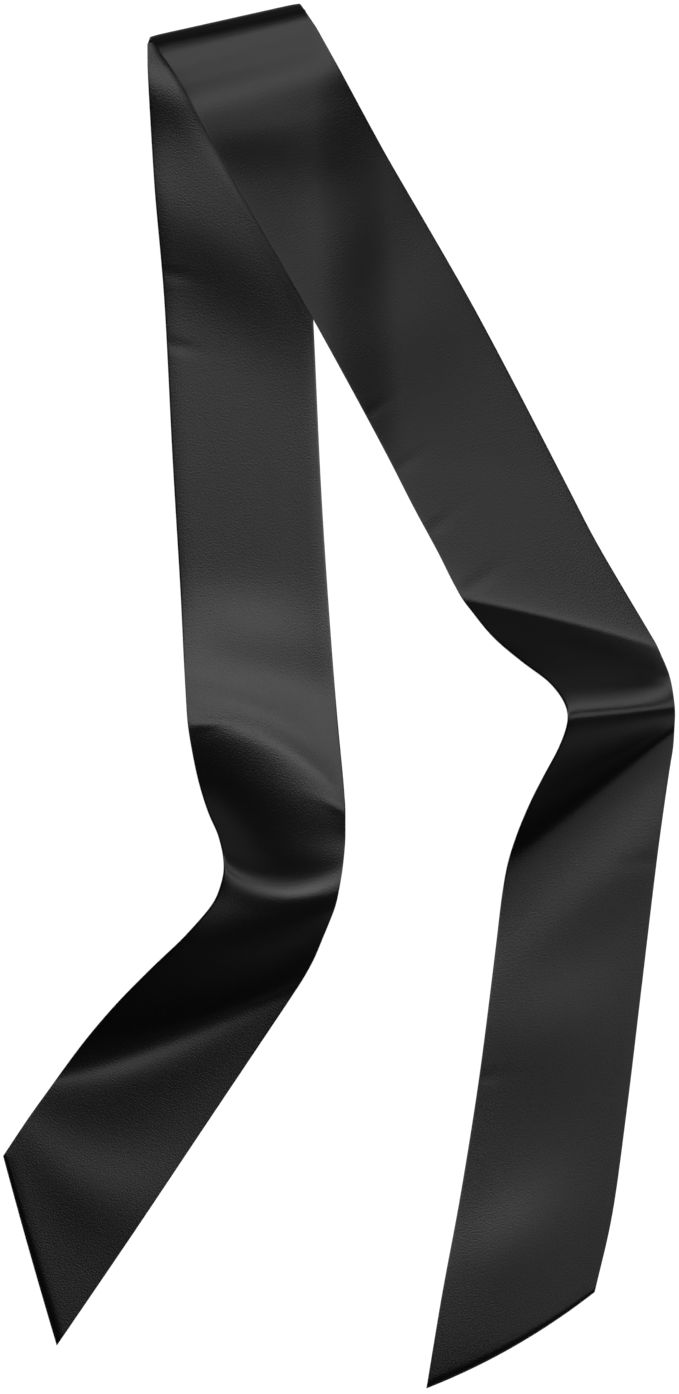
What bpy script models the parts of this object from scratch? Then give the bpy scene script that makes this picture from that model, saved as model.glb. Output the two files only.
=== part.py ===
"""Skinny scarf of black satin, laid out flat and folded over once at the neck.

The scarf is a long turned tube: a front panel and a back panel, sewn together round their edge, with a
bias end on each tail. It lies on a flat surface. The left tail runs up to the neck, the cloth folds over
there, and the right tail comes back down across it. Each tail stands up in one tented fold.

The panels follow one middle surface, which is worked out from sections across the cloth. A section runs
from the left edge to the right edge, as seen from above. Between sections each edge follows a monotone
curve, so a stretch between two sections that lie flat stays exactly flat.

Metres in the model, +Z up, origin at the middle of the footprint on the surface. The tables are in mm.
"""

import math
from collections import namedtuple

import bmesh
import bpy
import numpy as np

MM = 0.001

# Driving dimensions in mm
CLOTH_WIDTH = 80.0
PANEL_WALL = 1.0
SEAM_GAP = 0.3
REST_GAP = 0.3
EDGE_ROLL = 2.0
EDGE_WALL = 0.5
SETTLE_START = 5.0
SETTLE_LENGTH = 40.0
LONGEST_STATION = 14.0
ROWS_ACROSS = 6
BEND_STEPS = 10
NUDGE = 0.001

CLOTH = 2 * PANEL_WALL + SEAM_GAP
STEP_OVER = CLOTH + REST_GAP

SATIN_BLACK = (0.012, 0.012, 0.013, 1.0)
SATIN_ROUGHNESS = 0.42

# Place of each section's two ends in plan, how far the cloth is lifted there off what it lies on, and
# how far the middle of the section bows towards the near end of the scarf.
Section = namedtuple("Section", "fold left_x left_y left_lift right_x right_y right_lift bow")

LEFT_TAIL = [
    Section("bias end", -181.5, -248.5, 0, -152.5, -351.0, 0, 0.4),
    Section("flat", -167.5, -227.5, 0, -114.0, -294.5, 0, 0),
    Section("flat", -156.0, -211.5, 0, -66.5, -223.5, 0, 0),
    Section("foot crease", -151.0, -204.5, 0.4, -26.0, -163.0, 0, 4.0),
    Section("near face", -138.0, -187.0, 4.0, -19.5, -153.0, 0.8, 4.0),
    Section("near face", -121.0, -167.0, 15.5, -13.5, -142.0, 3.0, 4.5),
    Section("near face", -100.5, -146.0, 31.0, -9.0, -131.0, 6.6, 6.0),
    Section("near face", -81.0, -127.0, 43.0, -4.8, -120.5, 11.0, 7.5),
    Section("ridge fall", -64.6, -104.5, 49.0, -1.2, -109.0, 15.2, 8.5),
    Section("ridge", -61.4, -89.5, 50.0, 0.7, -100.0, 17.0, 9.0),
    Section("ridge rise", -62.2, -83.0, 48.0, 1.8, -93.5, 15.2, 8.0),
    Section("far face", -64.9, -74.5, 41.0, 2.7, -85.0, 12.4, 5.0),
    Section("far face", -70.0, -63.5, 33.0, 3.4, -75.0, 9.0, 1.0),
    Section("far face", -76.2, -44.5, 20.0, 3.4, -63.0, 5.2, -5.0),
    Section("head crease", -82.0, -13.0, 6.0, 2.9, -53.5, 2.6, -9.0),
    Section("ramp", -82.9, 1.5, 4.2, 2.0, -42.5, 1.5, -8.0),
    Section("ramp", -83.9, 19.0, 1.8, 0.0, -22.0, 0.6, -4.0),
    Section("flat", -85.5, 51.5, 0, -3.0, 13.0, 0, 0),
    Section("flat", -90.0, 127.5, 0, -9.5, 108.0, 0, 0),
    Section("flat", -94.5, 213.5, 0, -14.5, 213.5, 0, 0),
    Section("flat", -100.0, 278.5, 0, -19.0, 283.0, 0, 0),
]
UNDER_THE_NECK = [
    Section("flat", -103.5, 341.0, 0, -18.5, 352.5, 0, 0),
    Section("bend start", -103.6, 351.5, 0, -18.0, 369.5, 0, 0),
]
NECK_LINE = Section("fold line", -102.3, 354.8, 1.2, -20.8, 373.0, 1.2, 0)
OVER_THE_NECK = [
    Section("shoulder", -91.5, 339.5, 7.2, -12.5, 360.5, 7.2, 0),
    Section("rise", -86.0, 330.2, 9.2, -7.0, 350.7, 9.2, 0),
    Section("crest", -78.5, 316.7, 10.5, 0.9, 336.4, 10.3, 0),
    Section("fall", -70.5, 302.0, 9.6, 9.9, 319.8, 9.2, 0),
]
RIGHT_TAIL = [
    Section("fall", -58.5, 280.0, 7.4, 24.0, 294.0, 6.8, 0),
    Section("fall", -13.5, 202.0, 2.9, 73.0, 209.0, 1.8, 0),
    Section("flat", 27.0, 127.5, 0.2, 121.5, 116.5, 0, 0),
    Section("flat", 40.0, 102.0, 0, 137.5, 85.5, 0, 0),
    Section("flat", 53.5, 77.0, 0.1, 154.0, 57.0, 0, 0),
    Section("head crease", 61.6, 60.8, 0.9, 166.0, 36.8, 0.3, -1.0),
    Section("head crease", 67.0, 51.2, 4.0, 172.0, 26.4, 1.5, -1.5),
    Section("far face", 82.0, 32.5, 15.4, 177.6, 12.5, 5.0, -1.0),
    Section("far face", 97.5, 19.0, 31.0, 178.9, 7.2, 6.5, 0),
    Section("far face", 113.5, 6.5, 46.5, 179.8, 1.5, 8.0, 0),
    Section("ridge rise", 121.0, -4.5, 54.2, 180.4, -3.2, 8.9, 0),
    Section("ridge", 122.6, -11.0, 57.0, 180.7, -6.2, 9.2, 0),
    Section("ridge fall", 121.5, -17.5, 54.6, 180.9, -8.8, 8.2, 0),
    Section("near face", 117.5, -28.5, 45.6, 181.0, -11.0, 6.5, 0),
    Section("near face", 110.0, -43.0, 33.0, 181.0, -13.5, 4.0, 0),
    Section("near face", 102.0, -59.5, 18.0, 181.0, -16.0, 2.0, 0),
    Section("foot crease", 94.5, -78.5, 6.2, 180.9, -19.5, 1.0, 0),
    Section("foot crease", 90.5, -92.0, 2.2, 180.5, -26.5, 0.5, 0),
    Section("flat", 88.0, -106.5, 0.6, 178.4, -40.0, 0.1, 0),
    Section("flat", 84.0, -139.5, 0, 173.0, -77.5, 0, 0),
    Section("flat", 75.5, -206.0, 0, 163.5, -156.0, 0, 0),
    Section("flat", 65.0, -272.0, 0, 155.5, -222.5, 0, 0),
    Section("flat", 55.5, -323.0, 0, 147.5, -280.0, 0, 1.5),
    Section("bias end", 47.0, -374.0, 0, 138.0, -322.0, 0, 3.8),
]


def neck_bend():
    """Sections round the soft fold at the neck, between the cloth under it and its shoulder."""
    line = np.array(NECK_LINE[1:])
    start = np.array(UNDER_THE_NECK[-1][1:])
    shoulder = np.array(OVER_THE_NECK[0][1:])
    sections = []
    for step in range(1, BEND_STEPS):
        angle = math.pi * (step / BEND_STEPS - 0.5)
        outer = start if angle < 0 else shoulder
        values = line * math.cos(angle) + outer * (1 - math.cos(angle))
        values[[2, 5]] = (line + (outer - line) * abs(math.sin(angle)))[[2, 5]]
        sections.append((values, (1 + math.sin(angle)) / 2))
    return sections


def all_sections():
    """Every section along the scarf as numbers, and how far each has turned over, from 0 to 1."""
    under = [(np.array(section[1:], float), 0.0) for section in LEFT_TAIL + UNDER_THE_NECK]
    over = [(np.array(section[1:], float), 1.0) for section in OVER_THE_NECK + RIGHT_TAIL]
    rows = under + neck_bend() + over
    return np.array([np.append(values, turned) for values, turned in rows])


def monotone(rows, places):
    """Values at fractional row numbers, on a cubic through the rows that never overshoots them."""
    steps = np.diff(rows, axis=0)
    before, after = steps[:-1], steps[1:]
    same_way = before * after > 0
    total = np.where(same_way, before + after, 1.0)
    slopes = np.zeros_like(rows)
    slopes[1:-1] = np.where(same_way, 2 * before * after / total, 0.0)
    slopes[0], slopes[-1] = steps[0], steps[-1]
    row = np.clip(np.floor(places).astype(int), 0, len(rows) - 2)
    f = (places - row)[:, None]
    start = rows[row] * (1 + 2 * f) * (1 - f) ** 2 + slopes[row] * f * (1 - f) ** 2
    end = rows[row + 1] * f**2 * (3 - 2 * f) - slopes[row + 1] * f**2 * (1 - f)
    return start + end


def stations(rows, first, last, rolled_start, rolled_end):
    """Row numbers of a stretch's stations, half a seam gap short of each end, none too far apart."""
    spans = [longest_side(rows, number) for number in range(first, last)]
    places = []
    for number, span in zip(range(first, last), spans):
        count = max(1, math.ceil(span / LONGEST_STATION))
        places += [number + step / count for step in range(count)]
    places.append(float(last))
    if rolled_start:
        places.insert(1, first + EDGE_ROLL / pace(rows, first))
    else:
        places[0] += SEAM_GAP / 2 / pace(rows, first)
    if rolled_end:
        places.insert(-1, last - EDGE_ROLL / pace(rows, last - NUDGE))
    else:
        places[-1] -= SEAM_GAP / 2 / pace(rows, last - NUDGE)
    return np.array(places)


def longest_side(rows, number):
    """Length of the longer edge between a section and the next one."""
    step = rows[number + 1] - rows[number]
    return max(np.linalg.norm(step[0:3]), np.linalg.norm(step[3:6]))


def pace(rows, place):
    """How many mm the slower edge moves for each whole row number, at this place."""
    here, there = monotone(rows, np.array([place, place + NUDGE]))
    step = (there - here) / NUDGE
    return min(np.linalg.norm(step[0:3]), np.linalg.norm(step[3:6]))


def shares_across():
    """Where the lines along the cloth lie across it, from 0 to 1, with one close to each edge."""
    edge = EDGE_ROLL / CLOTH_WIDTH
    inner = [edge + (1 - 2 * edge) * step / ROWS_ACROSS for step in range(ROWS_ACROSS + 1)]
    return np.array([0.0] + inner + [1.0])


def step_over_share(x, y, rows):
    """1 where the upper tail lies on the lower one, falling to 0 as it settles beside it."""
    lower = rows[: len(LEFT_TAIL) + len(UNDER_THE_NECK)]
    edge_x = np.interp(y, lower[:, 4], lower[:, 3])
    beyond = np.clip((x - edge_x - SETTLE_START) / SETTLE_LENGTH, 0, 1)
    return 1 - beyond**2 * (3 - 2 * beyond)


def middle_surface(rows, places):
    """Grid of points midway between the two panels, stations down it and lines across it."""
    values = monotone(rows, places)
    left, right = values[:, None, 0:3], values[:, None, 3:6]
    bow, turned = values[:, None, 6], values[:, None, 7]
    across = shares_across()[None, :, None]
    points = left + (right - left) * across
    run = (right - left)[:, :, 0:2]
    run = run / np.linalg.norm(run, axis=2, keepdims=True)
    bulge = (bow * 4 * across[:, :, 0] * (1 - across[:, :, 0]))[:, :, None]
    points[:, :, 0:2] += np.concatenate([run[:, :, 1:2], -run[:, :, 0:1]], axis=2) * bulge
    lying_on = STEP_OVER * turned * step_over_share(points[:, :, 0], points[:, :, 1], rows)
    points[:, :, 2] += CLOTH / 2 + lying_on
    return points


def front_normals(points):
    """Unit vectors out of the front panel's face at each point of the grid."""
    along = np.gradient(points, axis=0)
    across = np.gradient(points, axis=1)
    normals = np.cross(across, along)
    return normals / np.linalg.norm(normals, axis=2, keepdims=True)


def wall_grid(shape, rolled_start, rolled_end):
    """Wall of a panel at each point, thinned where the seam is pressed round its edge."""
    wall = np.full(shape, PANEL_WALL)
    wall[:, [0, -1]] = EDGE_WALL
    if rolled_start:
        wall[0] = EDGE_WALL
    if rolled_end:
        wall[-1] = EDGE_WALL
    return wall[:, :, None]


def satin_material(name):
    material = bpy.data.materials.new(name)
    material.use_nodes = True
    shader = material.node_tree.nodes["Principled BSDF"]
    shader.inputs["Base Color"].default_value = SATIN_BLACK
    shader.inputs["Roughness"].default_value = SATIN_ROUGHNESS
    shader.inputs["Metallic"].default_value = 0.0
    return material


def closed_wall(name, inner, outer, parent):
    """A panel's solid, from the grid of its inner face and the grid of its outer face."""
    count, width = inner.shape[:2]
    mesh = bmesh.new()
    sides = []
    for grid in (inner, outer):
        sides.append([[mesh.verts.new(point * MM) for point in row] for row in grid])
    for side in sides:
        for i in range(count - 1):
            for j in range(width - 1):
                mesh.faces.new((side[i][j], side[i][j + 1], side[i + 1][j + 1], side[i + 1][j]))
    rim = [(0, j) for j in range(width)]
    rim += [(i, width - 1) for i in range(1, count)]
    rim += [(count - 1, j) for j in range(width - 2, -1, -1)]
    rim += [(i, 0) for i in range(count - 2, 0, -1)]
    lower, upper = sides
    for (i, j), (k, m) in zip(rim, rim[1:] + rim[:1]):
        mesh.faces.new((lower[i][j], lower[k][m], upper[k][m], upper[i][j]))
    bmesh.ops.triangulate(mesh, faces=mesh.faces[:])
    bmesh.ops.recalc_face_normals(mesh, faces=mesh.faces[:])
    data = bpy.data.meshes.new(name)
    mesh.to_mesh(data)
    mesh.free()
    data.shade_smooth()
    data.set_sharp_from_angle(angle=math.radians(50))
    data.materials.append(satin_material(name + "_satin"))
    piece = bpy.data.objects.new(name, data)
    piece.parent = parent
    bpy.context.scene.collection.objects.link(piece)
    return piece


def stretch(rows, name, first, last, parent):
    """The front and back panels of one stretch of the scarf, between two of its sections."""
    rolled_start = first == 0
    rolled_end = last == len(rows) - 1
    places = stations(rows, first, last, rolled_start, rolled_end)
    points = middle_surface(rows, places)
    normals = front_normals(points)
    wall = wall_grid(points.shape[:2], rolled_start, rolled_end)
    for panel, side in (("front", 1), ("back", -1)):
        inner = points + normals * side * SEAM_GAP / 2
        outer = points + normals * side * (SEAM_GAP / 2 + wall)
        closed_wall(f"{panel}_panel_{name}", inner, outer, parent)


def clear_scene():
    for item in list(bpy.data.objects):
        bpy.data.objects.remove(item, do_unlink=True)


def build():
    clear_scene()
    scarf = bpy.data.objects.new("skinny_scarf", None)
    bpy.context.scene.collection.objects.link(scarf)
    rows = all_sections()
    neck_first = len(LEFT_TAIL) - 1
    neck_last = len(rows) - len(RIGHT_TAIL)
    stretch(rows, "left_tail", 0, neck_first, scarf)
    stretch(rows, "neck", neck_first, neck_last, scarf)
    stretch(rows, "right_tail", neck_last, len(rows) - 1, scarf)


build()
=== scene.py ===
"""Looks of the skinny scarf: two black satin panels, the seam between them and a plain bright studio.

The cloth follows the sections of its solids, read much finer. A few sections lie up to 4 mm higher or lower
than in the solids, so that each fold catches the light as the real one does. A section runs across the
scarf from its left edge to its right edge, as seen from above. The scarf runs up the left tail, folds over
at the neck and comes back down the right tail, with one tented fold in each tail.

Each panel is a thin shell whose outer face follows its solid's. Low hills lift both panels off what they
lie on, and puckers pinch both along the seam. The tables are in mm, and the meshes in metres.
"""

import math
from collections import namedtuple

import bpy
import numpy as np
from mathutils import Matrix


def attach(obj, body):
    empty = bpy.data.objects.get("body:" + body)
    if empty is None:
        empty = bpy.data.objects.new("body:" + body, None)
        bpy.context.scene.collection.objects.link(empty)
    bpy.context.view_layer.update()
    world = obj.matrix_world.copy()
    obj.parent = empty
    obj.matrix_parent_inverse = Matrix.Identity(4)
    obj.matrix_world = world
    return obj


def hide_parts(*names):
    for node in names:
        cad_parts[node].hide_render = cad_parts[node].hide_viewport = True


MM = 0.001

# The scarf's own sizes, as its solids have them. The upper tail steps over the lower one, and beyond that
# one's edge it settles onto the table over a short length.
CLOTH_WIDTH = 80.0
PANEL_WALL = 1.0
SEAM_GAP = 0.3
REST_GAP = 0.3
CLOTH = 2 * PANEL_WALL + SEAM_GAP
STEP_OVER = CLOTH + REST_GAP
SETTLE_START = 5.0
SETTLE_LENGTH = 40.0
BEND_STEPS = 10

# The sewn edge: its half height at the seam, how far in its tight round reaches and how high, and how far
# in it swells to the full thickness
SEAM_HALF = 0.06
EDGE_ROUND = 0.9
EDGE_ROUND_HEIGHT = 0.72
EDGE_SWELL = 7.0

# The satin of one panel, and the most that it and a pucker may take of half the cloth's thickness
SATIN_THICKNESS = 0.35
SATIN_SHARE = 0.6
PUCKER_SHARE = 0.6

# How softly a crease turns, and how far its softening reaches, in softnesses
CREASE_SOFTNESS = 2.2
SOFTENING_REACH = 4

# The mesh: readings of the tables, steps along the cloth, and lines across it, which crowd at the edges
READINGS_A_SECTION = 60
FINE_STEP = 0.5
STEP_FLAT = 2.6
STEP_FOLDED = 1.3
STEP_BEND = 0.8
FOLDED_LIFT = 0.2
BEND_MARGIN = 0.5
LINES_ACROSS = 34
EDGE_LINES = [0.0, 0.12, 0.3, 0.55, 0.9, 1.4, 2.1, 3.0, 4.2]
ROWS_NEAR_END = 24

# The photograph's frame, its scale, and the pixel where the part's origin lies
PHOTO_WIDTH_PX = 679
PHOTO_HEIGHT_PX = 1394
MM_PER_PX = 0.54
PHOTO_ORIGIN_PX = (339.2, 695.7)

# The camera and the studio, in metres apart from the sensor's mm
SENSOR = 36.0
CAMERA_HEIGHT = 6.0
CAMERA_REACH = 100.0
FLOOR_SIZE = 24.0
LIGHT_DISTANCE = 10.0
WORLD_STRENGTH = 0.03

# Place of each section's two ends in plan, how far the cloth is lifted there off what it lies on, and how
# far the middle of the section bows towards the near end of the scarf.
Section = namedtuple("Section", "fold left_x left_y left_lift right_x right_y right_lift bow")

# Columns of the sections as numbers. The last one tells how far a section has turned over, from 0 to 1.
LEFT_END = slice(0, 3)
RIGHT_END = slice(3, 6)
LIFTS = [2, 5]
RIGHT_X = 3
RIGHT_Y = 4
BOW = 6
TURNED = 7

LEFT_TAIL = [
    Section("bias end", -181.5, -248.5, 0, -152.5, -351.0, 0, 0.4),
    Section("flat", -167.5, -227.5, 0, -114.0, -294.5, 0, 0),
    Section("flat", -156.0, -211.5, 0, -66.5, -223.5, 0, 0),
    Section("foot crease", -151.0, -204.5, 0.4, -26.0, -163.0, 0, 4.0),
    Section("near face", -138.0, -187.0, 4.0, -19.5, -153.0, 0.8, 4.0),
    Section("near face", -121.0, -167.0, 15.5, -13.5, -142.0, 3.0, 4.5),
    Section("near face", -100.5, -146.0, 29.6, -9.0, -131.0, 6.6, 6.0),
    Section("near face", -81.0, -127.0, 40.6, -4.8, -120.5, 11.0, 7.5),
    Section("ridge fall", -65.4, -107.0, 45.2, -1.6, -111.5, 15.8, 8.5),
    Section("ridge", -61.7, -92.5, 50.0, 0.2, -103.0, 17.0, 9.0),
    Section("ridge rise", -62.1, -86.0, 48.6, 1.4, -96.5, 15.6, 8.0),
    Section("far face", -64.9, -74.5, 41.0, 2.7, -86.0, 11.6, 5.0),
    Section("far face", -70.0, -63.5, 33.0, 3.4, -75.0, 8.2, 1.0),
    Section("far face", -76.2, -44.5, 20.0, 3.4, -63.0, 3.8, -5.0),
    Section("head crease", -82.0, -13.0, 6.0, 2.9, -53.5, 1.2, -9.0),
    Section("ramp", -82.9, 1.5, 4.2, 2.0, -42.5, 0.6, -8.0),
    Section("ramp", -83.9, 19.0, 1.8, 0.0, -22.0, 0.3, -4.0),
    Section("flat", -85.5, 51.5, 0, -3.0, 13.0, 0, 0),
    Section("flat", -90.0, 127.5, 0, -9.5, 108.0, 0, 0),
    Section("flat", -94.5, 213.5, 0, -14.5, 213.5, 0, 0),
    Section("flat", -100.0, 278.5, 0, -19.0, 283.0, 0, 0),
]
UNDER_THE_NECK = [
    Section("flat", -103.5, 341.0, 0, -18.5, 352.5, 0, 0),
    Section("bend start", -103.6, 351.5, 0, -18.0, 369.5, 0, 0),
]
NECK_LINE = Section("fold line", -102.3, 354.8, 1.2, -20.8, 373.0, 1.2, 0)
OVER_THE_NECK = [
    Section("shoulder", -91.5, 339.5, 7.2, -12.5, 360.5, 7.2, 0),
    Section("rise", -86.0, 330.2, 8.6, -7.0, 350.7, 8.6, 0),
    Section("crest", -78.5, 316.7, 10.5, 0.9, 336.4, 10.3, 0),
    Section("fall", -70.5, 302.0, 9.6, 9.9, 319.8, 9.2, 0),
]
RIGHT_TAIL = [
    Section("fall", -58.5, 280.0, 7.4, 24.0, 294.0, 6.8, 0),
    Section("fall", -13.5, 202.0, 2.9, 73.0, 209.0, 1.8, 0),
    Section("flat", 27.0, 127.5, 0.2, 121.5, 116.5, 0, 0),
    Section("flat", 40.0, 102.0, 0, 137.5, 85.5, 0, 0),
    Section("flat", 53.5, 77.0, 0.1, 154.0, 57.0, 0, 0),
    Section("head crease", 61.6, 60.8, 0.6, 166.0, 36.8, 0.2, -1.0),
    Section("head crease", 67.0, 51.2, 1.6, 172.0, 26.4, 0.6, -1.5),
    Section("far face", 70.0, 47.5, 4.2, 173.1, 23.6, 1.4, -1.4),
    Section("far face", 82.0, 32.5, 15.4, 177.6, 12.5, 5.0, -1.0),
    Section("far face", 97.5, 19.0, 31.0, 178.9, 7.2, 6.5, 0),
    Section("far face", 113.5, 6.5, 46.5, 179.8, 1.5, 8.0, 0),
    Section("ridge rise", 121.0, -4.5, 54.2, 180.4, -3.2, 8.9, 0),
    Section("ridge", 122.6, -11.0, 57.0, 180.7, -6.2, 9.2, 0),
    Section("ridge fall", 121.5, -17.5, 54.6, 180.9, -8.8, 8.2, 0),
    Section("near face", 117.5, -28.5, 45.6, 181.0, -11.0, 6.5, 0),
    Section("near face", 110.0, -43.0, 33.0, 181.0, -13.5, 4.0, 0),
    Section("near face", 102.0, -59.5, 18.0, 181.0, -16.0, 2.0, 0),
    Section("foot crease", 94.5, -78.5, 6.2, 180.9, -19.5, 1.0, 0),
    Section("foot crease", 90.5, -92.0, 2.2, 180.5, -26.5, 0.5, 0),
    Section("flat", 88.0, -106.5, 0.6, 178.4, -40.0, 0.1, 0),
    Section("flat", 84.0, -139.5, 0, 173.0, -77.5, 0, 0),
    Section("flat", 75.5, -206.0, 0, 163.5, -156.0, 0, 0),
    Section("flat", 65.0, -272.0, 0, 155.5, -222.5, 0, 0),
    Section("flat", 55.5, -323.0, 0, 147.5, -280.0, 0, 1.5),
    Section("bias end", 47.0, -374.0, 0, 138.0, -322.0, 0, 3.8),
]
FIRST_BEND_ROW = len(LEFT_TAIL) + len(UNDER_THE_NECK) - 1
LAST_BEND_ROW = FIRST_BEND_ROW + BEND_STEPS

# A hill lifts the cloth softly off what it lies on, by its height at its top, which is at x, y in plan. It
# reaches so far along and across the cloth, and its crest slants by so many degrees from left to right.
Hill = namedtuple("Hill", "tail x y height along across slant")

HILLS = [
    Hill("left", -125, -270, 1.0, 13, 30, -20),
    Hill("left", -75, -190, 2.2, 25, 30, -30),
    Hill("left", -25, -20, 4.5, 25, 35, -10),
    Hill("left", -50, 30, 1.5, 15, 30, -20),
    Hill("left", -60, 250, 3.5, 28, 45, 30),
    Hill("left", -65, 290, 2.5, 20, 35, 40),
    Hill("left", -90, 330, 3.0, 15, 30, 20),
    Hill("right", -45, 305, 1.0, 18, 35, -20),
    Hill("right", 10, 250, 1.0, 20, 25, 40),
    Hill("right", 35, 205, 1.0, 25, 35, 30),
    Hill("right", 135, 15, 2.0, 13, 40, 10),
    Hill("right", 178, 0, 4.0, 22, 24, 0),
    Hill("right", 155, -90, 1.0, 18, 45, 10),
    Hill("right", 105, -180, 1.5, 25, 30, -30),
    Hill("right", 90, -300, 2.0, 22, 22, -10),
    Hill("right", 75, -350, 2.0, 25, 25, -10),
]

# A pucker is a small pinch in the cloth where the seam draws it in, at x, y on an edge. It is deepest at
# its reach from the edge, and so wide along it.
Pucker = namedtuple("Pucker", "tail x y depth reach width")

PUCKERS = [
    Pucker("right", 19, 154, 0.12, 5, 3),
    Pucker("right", 33, 122, 0.14, 5, 3),
    Pucker("right", 49, 90, 0.16, 6, 3),
    Pucker("right", 67, 55, 0.22, 7, 4),
    Pucker("left", -82, -16, 0.35, 6, 3),
    Pucker("left", -3, -60, 0.30, 5, 3),
    Pucker("left", -93, 190, 0.22, 5, 3),
    Pucker("left", -96, 228, 0.22, 5, 3),
    Pucker("right", 172, -90, 0.22, 5, 3),
    Pucker("right", 75, -205, 0.25, 5, 3),
]

# A soft box leans so many degrees off the vertical, towards the neck where its turn is 0. It is so many
# metres wide and long, and its power is in watts.
SoftBox = namedtuple("SoftBox", "name lean turn wide long power")

SOFT_BOXES = [
    SoftBox("neck_side_soft_box", 17, 0, 8.0, 4.2, 3100),
    SoftBox("right_side_soft_box", 70, 90, 4.0, 4.0, 1400),
    SoftBox("low_back_soft_box", 78, 0, 6.0, 3.0, 130),
]

# The satin's finish, with its glints to the mm, across and along the scarf, and their depth in mm
SATIN_BLACK = "#020202"
SATIN_ROUGHNESS = 0.5
SATIN_SHINE = 0.15
GLINTS_ACROSS = 1.2
GLINTS_ALONG = 1.1
GLINT_DEPTH = 0.07

# The table's finish, and plain white for the light
TABLE_GREY = "#2a2a2a"
TABLE_ROUGHNESS = 0.9
PLAIN_WHITE = "#ffffff"


def linear(hex_colour):
    """An sRGB hex colour as linear RGBA."""
    parts = [int(hex_colour[i : i + 2], 16) / 255 for i in (1, 3, 5)]
    return [c / 12.92 if c <= 0.04045 else ((c + 0.055) / 1.055) ** 2.4 for c in parts] + [1.0]


def neck_bend():
    """Sections round the soft fold at the neck, between the cloth under it and its shoulder."""
    line = np.array(NECK_LINE[1:])
    start = np.array(UNDER_THE_NECK[-1][1:])
    shoulder = np.array(OVER_THE_NECK[0][1:])
    sections = []
    # Half a turn, from the cloth below round the fold line to the shoulder.
    for step in range(1, BEND_STEPS):
        angle = math.pi * (step / BEND_STEPS - 0.5)
        outer = start if angle < 0 else shoulder
        values = line * math.cos(angle) + outer * (1 - math.cos(angle))
        values[LIFTS] = (line + (outer - line) * abs(math.sin(angle)))[LIFTS]
        sections.append((values, (1 + math.sin(angle)) / 2))
    return sections


def all_sections():
    """Every section along the scarf as numbers, and how far each has turned over, from 0 to 1."""
    under = [(np.array(section[1:], float), 0.0) for section in LEFT_TAIL + UNDER_THE_NECK]
    over = [(np.array(section[1:], float), 1.0) for section in OVER_THE_NECK + RIGHT_TAIL]
    rows = under + neck_bend() + over
    return np.array([np.append(values, turned) for values, turned in rows])


def monotone(rows, places):
    """Values at fractional row numbers, on a cubic through the rows that never overshoots them."""
    steps = np.diff(rows, axis=0)
    before, after = steps[:-1], steps[1:]
    same_way = before * after > 0
    total = np.where(same_way, before + after, 1.0)
    slopes = np.zeros_like(rows)
    slopes[1:-1] = np.where(same_way, 2 * before * after / total, 0.0)
    slopes[0], slopes[-1] = steps[0], steps[-1]
    row = np.clip(np.floor(places).astype(int), 0, len(rows) - 2)
    f = (places - row)[:, None]
    start = rows[row] * (1 + 2 * f) * (1 - f) ** 2 + slopes[row] * f * (1 - f) ** 2
    end = rows[row + 1] * f**2 * (3 - 2 * f) - slopes[row + 1] * f**2 * (1 - f)
    return start + end


def distance_along(values):
    """How far each section lies from the first one, along the middle line of the cloth."""
    middle = (values[:, LEFT_END] + values[:, RIGHT_END]) / 2
    steps = np.linalg.norm(np.diff(middle, axis=0), axis=1)
    return np.concatenate([[0.0], np.cumsum(steps)])


def softened(values, mask):
    """Values evenly spaced along the scarf, with each crease rounded off where the mask is 1.

    Before the first and after the last one, the values are carried on as they came, so the ends stay put.
    """
    reach = int(SOFTENING_REACH * CREASE_SOFTNESS / FINE_STEP)
    offsets = np.arange(-reach, reach + 1) * FINE_STEP
    weights = np.exp(-0.5 * (offsets / CREASE_SOFTNESS) ** 2)
    weights /= weights.sum()
    before = 2 * values[0] - values[reach:0:-1]
    after = 2 * values[-1] - values[-2 : -reach - 2 : -1]
    padded = np.vstack([before, values, after])
    smooth = sum(
        weight * padded[number : number + len(values)] for number, weight in enumerate(weights)
    )
    return values + (smooth - values) * mask[:, None]


def cloth_sections():
    """Sections for the fine mesh, each with its distance along the scarf, and closer at the folds."""
    rows = all_sections()
    places = np.linspace(0, len(rows) - 1, READINGS_A_SECTION * (len(rows) - 1) + 1)
    along = distance_along(monotone(rows, places))
    even = np.linspace(0, along[-1], int(along[-1] / FINE_STEP) + 1)
    even_places = np.interp(even, along, places)
    values = monotone(rows, even_places)
    # The neck bend is round already, so it isn't softened.
    from_bend = np.maximum(FIRST_BEND_ROW - 1 - even_places, even_places - LAST_BEND_ROW - 1)
    values = softened(values, np.clip(from_bend, 0, 1))
    lift = values[:, LIFTS].max(axis=1)
    step = np.where(lift > FOLDED_LIFT, STEP_FOLDED, STEP_FLAT)
    after_start = even_places > FIRST_BEND_ROW - BEND_MARGIN
    before_end = even_places < LAST_BEND_ROW + BEND_MARGIN
    step = np.where(after_start & before_end, STEP_BEND, step)
    count = np.concatenate([[0.0], np.cumsum(FINE_STEP / step[1:])])
    chosen = np.interp(np.linspace(0, count[-1], int(count[-1]) + 1), count, even)
    picked = np.stack([np.interp(chosen, even, column) for column in values.T], axis=1)
    return picked, chosen


def shares_across():
    """Where the mesh lines run across the cloth, from 0 to 1, closer together at the rolled edges."""
    edge = np.array(EDGE_LINES) / CLOTH_WIDTH
    inner = np.linspace(edge[-1], 1 - edge[-1], LINES_ACROSS)
    return np.concatenate([edge[:-1], inner, 1 - edge[:-1][::-1]])


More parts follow.
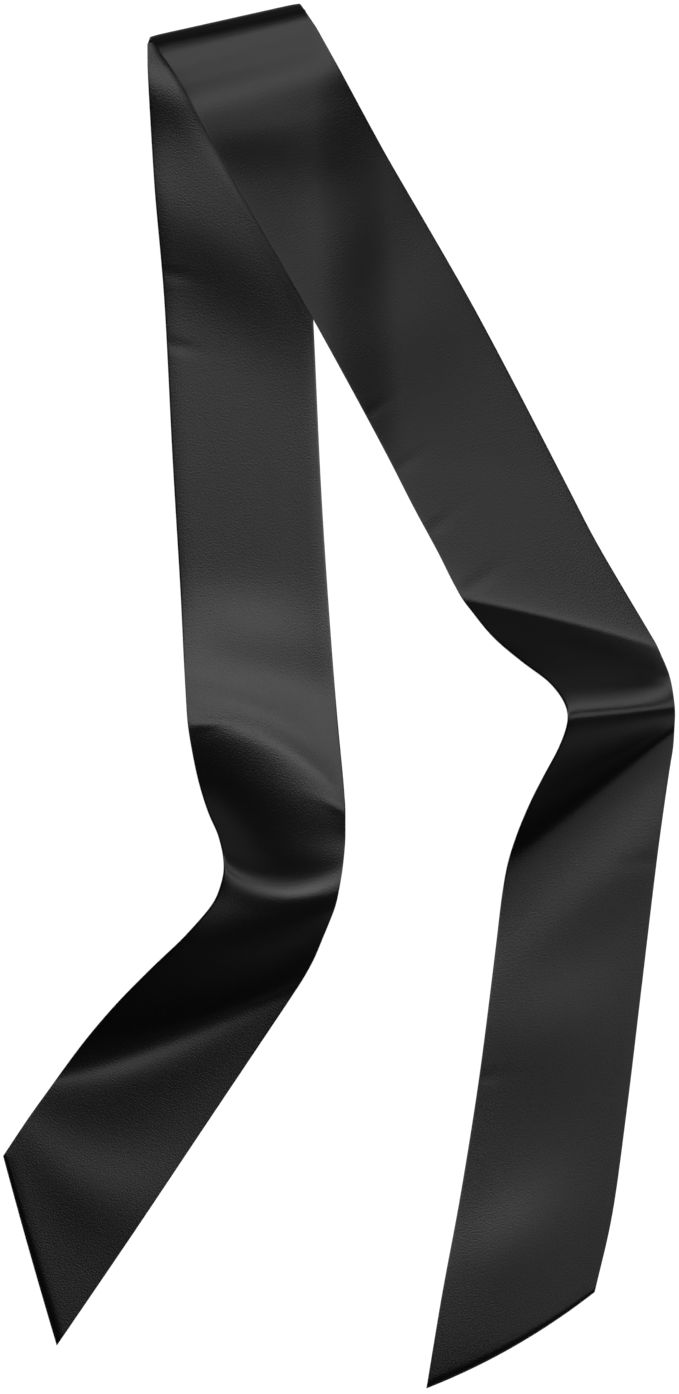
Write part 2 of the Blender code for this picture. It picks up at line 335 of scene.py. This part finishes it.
def step_over_share(x, y):
    """1 where the upper tail lies on the lower one, falling to 0 as it settles beside it."""
    lower = all_sections()[: len(LEFT_TAIL) + len(UNDER_THE_NECK)]
    edge_x = np.interp(y, lower[:, RIGHT_Y], lower[:, RIGHT_X])
    beyond = np.clip((x - edge_x - SETTLE_START) / SETTLE_LENGTH, 0, 1)
    return 1 - beyond**2 * (3 - 2 * beyond)


def middle_surface(values):
    """Grid of points midway between the two panels, sections down it and lines across it."""
    left, right = values[:, None, LEFT_END], values[:, None, RIGHT_END]
    bow, turned = values[:, None, BOW], values[:, None, TURNED]
    across = shares_across()[None, :, None]
    points = left + (right - left) * across
    run = (right - left)[:, :, 0:2]
    run = run / np.linalg.norm(run, axis=2, keepdims=True)
    bulge = (bow * 4 * across[:, :, 0] * (1 - across[:, :, 0]))[:, :, None]
    points[:, :, 0:2] += np.concatenate([run[:, :, 1:2], -run[:, :, 0:1]], axis=2) * bulge
    points[:, :, 2] += CLOTH / 2 + STEP_OVER * turned * step_over_share(points[:, :, 0], points[:, :, 1])
    return points


def front_normals(points):
    """Unit vectors out of the front panel's face at each point of the grid."""
    normals = np.cross(np.gradient(points, axis=1), np.gradient(points, axis=0))
    return normals / np.linalg.norm(normals, axis=2, keepdims=True)


class Lay:
    """The laid-out cloth: its middle surface, and where each point lies along and across it."""

    def __init__(self):
        values, self.along = cloth_sections()
        self.points = middle_surface(values)
        self.turned = values[:, TURNED]
        self.across = (shares_across() * CLOTH_WIDTH)[None, :].repeat(len(self.along), axis=0)
        self.points[:, :, 2] += self.hills()
        self.normals = front_normals(self.points)
        self.pattern = self.pattern_lengths()
        from_side = np.minimum(self.across, CLOTH_WIDTH - self.across)
        self.from_edge = np.minimum(from_side, self.from_ends())

    def hills(self):
        """How far the hills lift each point."""
        height = np.zeros(self.points.shape[:2])
        for hill in HILLS:
            i, j = self.nearest(hill.tail, hill.x, hill.y)
            across = self.across - self.across[i, j]
            along = self.along[:, None] - self.along[i] + across * math.tan(math.radians(hill.slant))
            height += hill.height * np.exp(-0.5 * ((along / hill.along) ** 2 + (across / hill.across) ** 2))
        return height

    def pattern_lengths(self):
        """How far along the flat cut strip each point lies, so that threads run true to its edges."""
        left, right = self.points[:, 0], self.points[:, -1]
        lengths = [
            np.concatenate([[0.0], np.cumsum(np.linalg.norm(np.diff(edge, axis=0), axis=1))])
            for edge in (left, right)
        ]
        run = left[1] - left[0]
        shear = (right[0] - left[0]) @ run / np.linalg.norm(run)
        share = self.across / CLOTH_WIDTH
        return lengths[0][:, None] * (1 - share) + (lengths[1][:, None] + shear) * share

    def from_ends(self):
        """Distance of each point from the nearer bias end."""
        near = np.full(self.points.shape[:2], np.inf)
        first, last = slice(0, ROWS_NEAR_END), slice(-ROWS_NEAR_END, None)
        for end, rows in ((self.points[0], first), (self.points[-1], last)):
            apart = self.points[rows, :, None, :] - end[None, None]
            near[rows] = np.linalg.norm(apart, axis=3).min(axis=2)
        return near

    def nearest(self, tail, x, y):
        """Grid place of the tail's point nearest to x, y in plan."""
        off = np.hypot(self.points[:, :, 0] - x, self.points[:, :, 1] - y)
        other = self.turned > 0.5 if tail == "left" else self.turned < 0.5
        off[other] = np.inf
        return np.unravel_index(np.argmin(off), off.shape)


def edge_profile(from_edge):
    """Half the thickness of the sewn cloth, by the distance from its edge."""
    rounded = np.clip(from_edge / EDGE_ROUND, 0, 1)
    swell = np.clip(from_edge / EDGE_SWELL, 0, 1)
    edge = SEAM_HALF + (EDGE_ROUND_HEIGHT - SEAM_HALF) * np.sqrt(1 - (1 - rounded) ** 2)
    full = CLOTH / 2 - EDGE_ROUND_HEIGHT
    return edge + full * (1 - (1 - swell) ** 2)


def puckers(lay):
    """Small pinches along the seam, deepest a little way in from it."""
    height = np.zeros(lay.points.shape[:2])
    for pucker in PUCKERS:
        i, j = lay.nearest(pucker.tail, pucker.x, pucker.y)
        along = (lay.pattern - lay.pattern[i, j]) / pucker.width
        depth = lay.from_edge / pucker.reach
        side = (lay.across < CLOTH_WIDTH / 2) == (lay.across[i, j] < CLOTH_WIDTH / 2)
        height -= pucker.depth * np.exp(-(along**2)) * depth * np.exp(1 - depth) * side
    return height


def shell_mesh(name, outer, inner, uv):
    """A closed thin shell between two grids of points, in metres, with its lay in a UV map."""
    rows, columns = outer.shape[:2]
    count = rows * columns
    i, j = np.meshgrid(np.arange(rows - 1), np.arange(columns - 1), indexing="ij")
    corner = (i * columns + j).ravel()
    quads = np.stack([corner, corner + 1, corner + columns + 1, corner + columns], axis=1)
    # The rim runs once round the grid, and a band of faces closes the shell there.
    rim = list(range(columns - 1))
    rim += [row * columns + columns - 1 for row in range(rows - 1)]
    rim += [(rows - 1) * columns + column for column in range(columns - 1, 0, -1)]
    rim += [row * columns for row in range(rows - 1, 0, -1)]
    rim = np.array(rim)
    after = np.roll(rim, -1)
    band = np.stack([rim, rim + count, after + count, after], axis=1)
    faces = np.vstack([quads, quads[:, ::-1] + count, band])
    points = np.vstack([outer.reshape(-1, 3), inner.reshape(-1, 3)]) * MM
    mesh = bpy.data.meshes.new(name)
    mesh.from_pydata(points.tolist(), [], faces.tolist())
    layer = mesh.uv_layers.new(name="cloth_lay")
    both = np.vstack([uv.reshape(-1, 2)] * 2) * MM
    loop_points = np.empty(len(mesh.loops), np.int32)
    mesh.loops.foreach_get("vertex_index", loop_points)
    layer.data.foreach_set("uv", both[loop_points].astype(np.float32).ravel())
    mesh.shade_smooth()
    mesh.update()
    return mesh


def add_object(name, mesh, material):
    """A new object in the scene, with one mesh and one material."""
    piece = bpy.data.objects.new(name, mesh)
    bpy.context.scene.collection.objects.link(piece)
    piece.data.materials.append(material)
    return piece


def panel(lay, name, side, height, material):
    """One satin panel. side is 1 for the front panel and -1 for the back one."""
    profile = edge_profile(lay.from_edge)
    half = profile + np.maximum(height, -PUCKER_SHARE * profile)
    inside = half - np.minimum(SATIN_THICKNESS, SATIN_SHARE * profile)
    outer = lay.points + lay.normals * (side * half)[:, :, None]
    inner = lay.points + lay.normals * (side * inside)[:, :, None]
    uv = np.stack([lay.across, lay.pattern], axis=2)
    if side < 0:
        outer, inner, uv = outer[:, ::-1], inner[:, ::-1], uv[:, ::-1]
    return add_object(name, shell_mesh(name, outer, inner, uv), material)


def add_node(tree, kind, settings=None, links=None):
    """Adds a node, sets its properties and socket values, and links its inputs."""
    node = tree.nodes.new(kind)
    for name, value in (settings or {}).items():
        if name in node.inputs:
            node.inputs[name].default_value = value
        else:
            setattr(node, name, value)
    for name, source in (links or {}).items():
        tree.links.new(source, node.inputs[name])
    return node


def new_material(name):
    """A material with an empty node tree, and that tree."""
    material = bpy.data.materials.new(name)
    material.use_nodes = True
    tree = material.node_tree
    tree.nodes.clear()
    return material, tree


def charmeuse_satin():
    """Polyester charmeuse satin, woven with long floats along the scarf and dyed black.

    Its floats lie side by side like fine rods, so the shine is tight along the scarf and broad across it.
    The dye swallows nearly all other light, so the folds show by their shine alone. Shine and roughness are
    matched to the real scarf, and the IOR stays at the shader's own 1.5, a little under polyester's.
    """
    material, tree = new_material("charmeuse_satin_black")
    lay = add_node(tree, "ShaderNodeUVMap", {"uv_map": "cloth_lay"}).outputs["UV"]
    # The floats are 0.1 mm apart, too fine to show, so their glints are drawn about 0.9 mm apart.
    glint_scale = (GLINTS_ACROSS / MM, GLINTS_ALONG / MM, 1)
    floats_at = add_node(tree, "ShaderNodeMapping", {"Scale": glint_scale}, {"Vector": lay})
    floats = add_node(
        tree,
        "ShaderNodeTexNoise",
        {"noise_dimensions": "2D", "Scale": 1.0, "Detail": 1.0, "Roughness": 0.5},
        {"Vector": floats_at.outputs["Vector"]},
    )
    bump = add_node(
        tree,
        "ShaderNodeBump",
        {"Strength": 1.0, "Distance": GLINT_DEPTH * MM},
        {"Height": floats.outputs["Fac"]},
    )
    tangent = add_node(tree, "ShaderNodeTangent", {"direction_type": "UV_MAP", "uv_map": "cloth_lay"})
    shader = add_node(
        tree,
        "ShaderNodeBsdfPrincipled",
        {
            "Base Color": linear(SATIN_BLACK),
            "Roughness": SATIN_ROUGHNESS,
            "Anisotropic": 1.0,
            "Specular IOR Level": SATIN_SHINE,
        },
        {"Normal": bump.outputs["Normal"], "Tangent": tangent.outputs["Tangent"]},
    )
    add_node(tree, "ShaderNodeOutputMaterial", links={"Surface": shader.outputs["BSDF"]})
    return material


def light_table():
    """White light table, lit from below so that it stays a plain clean white."""
    material, tree = new_material("white_light_table")
    shader = add_node(
        tree,
        "ShaderNodeBsdfPrincipled",
        {
            "Base Color": linear(TABLE_GREY),
            "Roughness": TABLE_ROUGHNESS,
            "Specular IOR Level": 0.0,
            "Emission Color": linear(PLAIN_WHITE),
            "Emission Strength": 1.0,
        },
    )
    add_node(tree, "ShaderNodeOutputMaterial", links={"Surface": shader.outputs["BSDF"]})
    return material


def add_floor():
    """The plain white table that the scarf lies on, which isn't part of it."""
    mesh = bpy.data.meshes.new("floor")
    half = FLOOR_SIZE / 2
    corner_points = [(-half, -half, 0), (half, -half, 0), (half, half, 0), (-half, half, 0)]
    mesh.from_pydata(corner_points, [], [(0, 1, 2, 3)])
    floor = add_object("floor", mesh, light_table())


def add_camera():
    """A long lens straight above the scarf. Its sensor spans the photograph's taller side."""
    data = bpy.data.cameras.new("overhead_camera")
    camera = bpy.data.objects.new("overhead_camera", data)
    bpy.context.scene.collection.objects.link(camera)
    data.type = "PERSP"
    data.sensor_width = SENSOR
    data.lens = SENSOR * CAMERA_HEIGHT / (PHOTO_HEIGHT_PX * MM_PER_PX * MM)
    data.clip_end = CAMERA_REACH
    x = (PHOTO_WIDTH_PX / 2 - PHOTO_ORIGIN_PX[0]) * MM_PER_PX * MM
    y = (PHOTO_ORIGIN_PX[1] - PHOTO_HEIGHT_PX / 2) * MM_PER_PX * MM
    camera.location = (x, y, CAMERA_HEIGHT)
    camera.rotation_euler = (0, 0, 0)
    bpy.context.scene.camera = camera


def add_soft_light(box):
    """A rectangular soft box that faces the middle of the scarf."""
    data = bpy.data.lights.new(box.name, "AREA")
    data.shape = "RECTANGLE"
    data.size, data.size_y = box.wide, box.long
    data.energy = box.power
    light = bpy.data.objects.new(box.name, data)
    bpy.context.scene.collection.objects.link(light)
    lean, turn = math.radians(box.lean), math.radians(box.turn)
    light.rotation_euler = (-lean, 0, -turn)
    light.location = (
        LIGHT_DISTANCE * math.sin(lean) * math.sin(turn),
        LIGHT_DISTANCE * math.sin(lean) * math.cos(turn),
        LIGHT_DISTANCE * math.cos(lean),
    )


def add_studio():
    """The soft boxes, a faint even light all round, and colours shown as they are."""
    world = bpy.data.worlds.new("studio")
    bpy.context.scene.world = world
    world.use_nodes = True
    background = world.node_tree.nodes["Background"]
    background.inputs["Color"].default_value = linear(PLAIN_WHITE)
    background.inputs["Strength"].default_value = WORLD_STRENGTH
    for box in SOFT_BOXES:
        add_soft_light(box)
    view = bpy.context.scene.view_settings
    view.view_transform = "Standard"
    view.look = "None"


def add_scarf():
    """Both panels. Each stands for its three stretches in the solids."""
    lay = Lay()
    satin = charmeuse_satin()
    height = puckers(lay)
    front = panel(lay, "front_panel", 1, height, satin)
    back = panel(lay, "back_panel", -1, height, satin)
    for piece, name in ((front, "front_panel"), (back, "back_panel")):
        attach(piece, "root")
        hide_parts(*[f"{name}_{stretch}" for stretch in ("left_tail", "neck", "right_tail")])


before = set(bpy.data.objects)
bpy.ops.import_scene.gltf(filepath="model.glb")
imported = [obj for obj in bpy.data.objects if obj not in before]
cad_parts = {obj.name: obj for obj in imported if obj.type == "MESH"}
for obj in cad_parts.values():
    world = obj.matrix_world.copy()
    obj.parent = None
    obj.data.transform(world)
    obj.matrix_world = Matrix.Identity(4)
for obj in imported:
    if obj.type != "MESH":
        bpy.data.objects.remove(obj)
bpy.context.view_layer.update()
add_camera()
add_floor()
add_studio()
add_scarf()
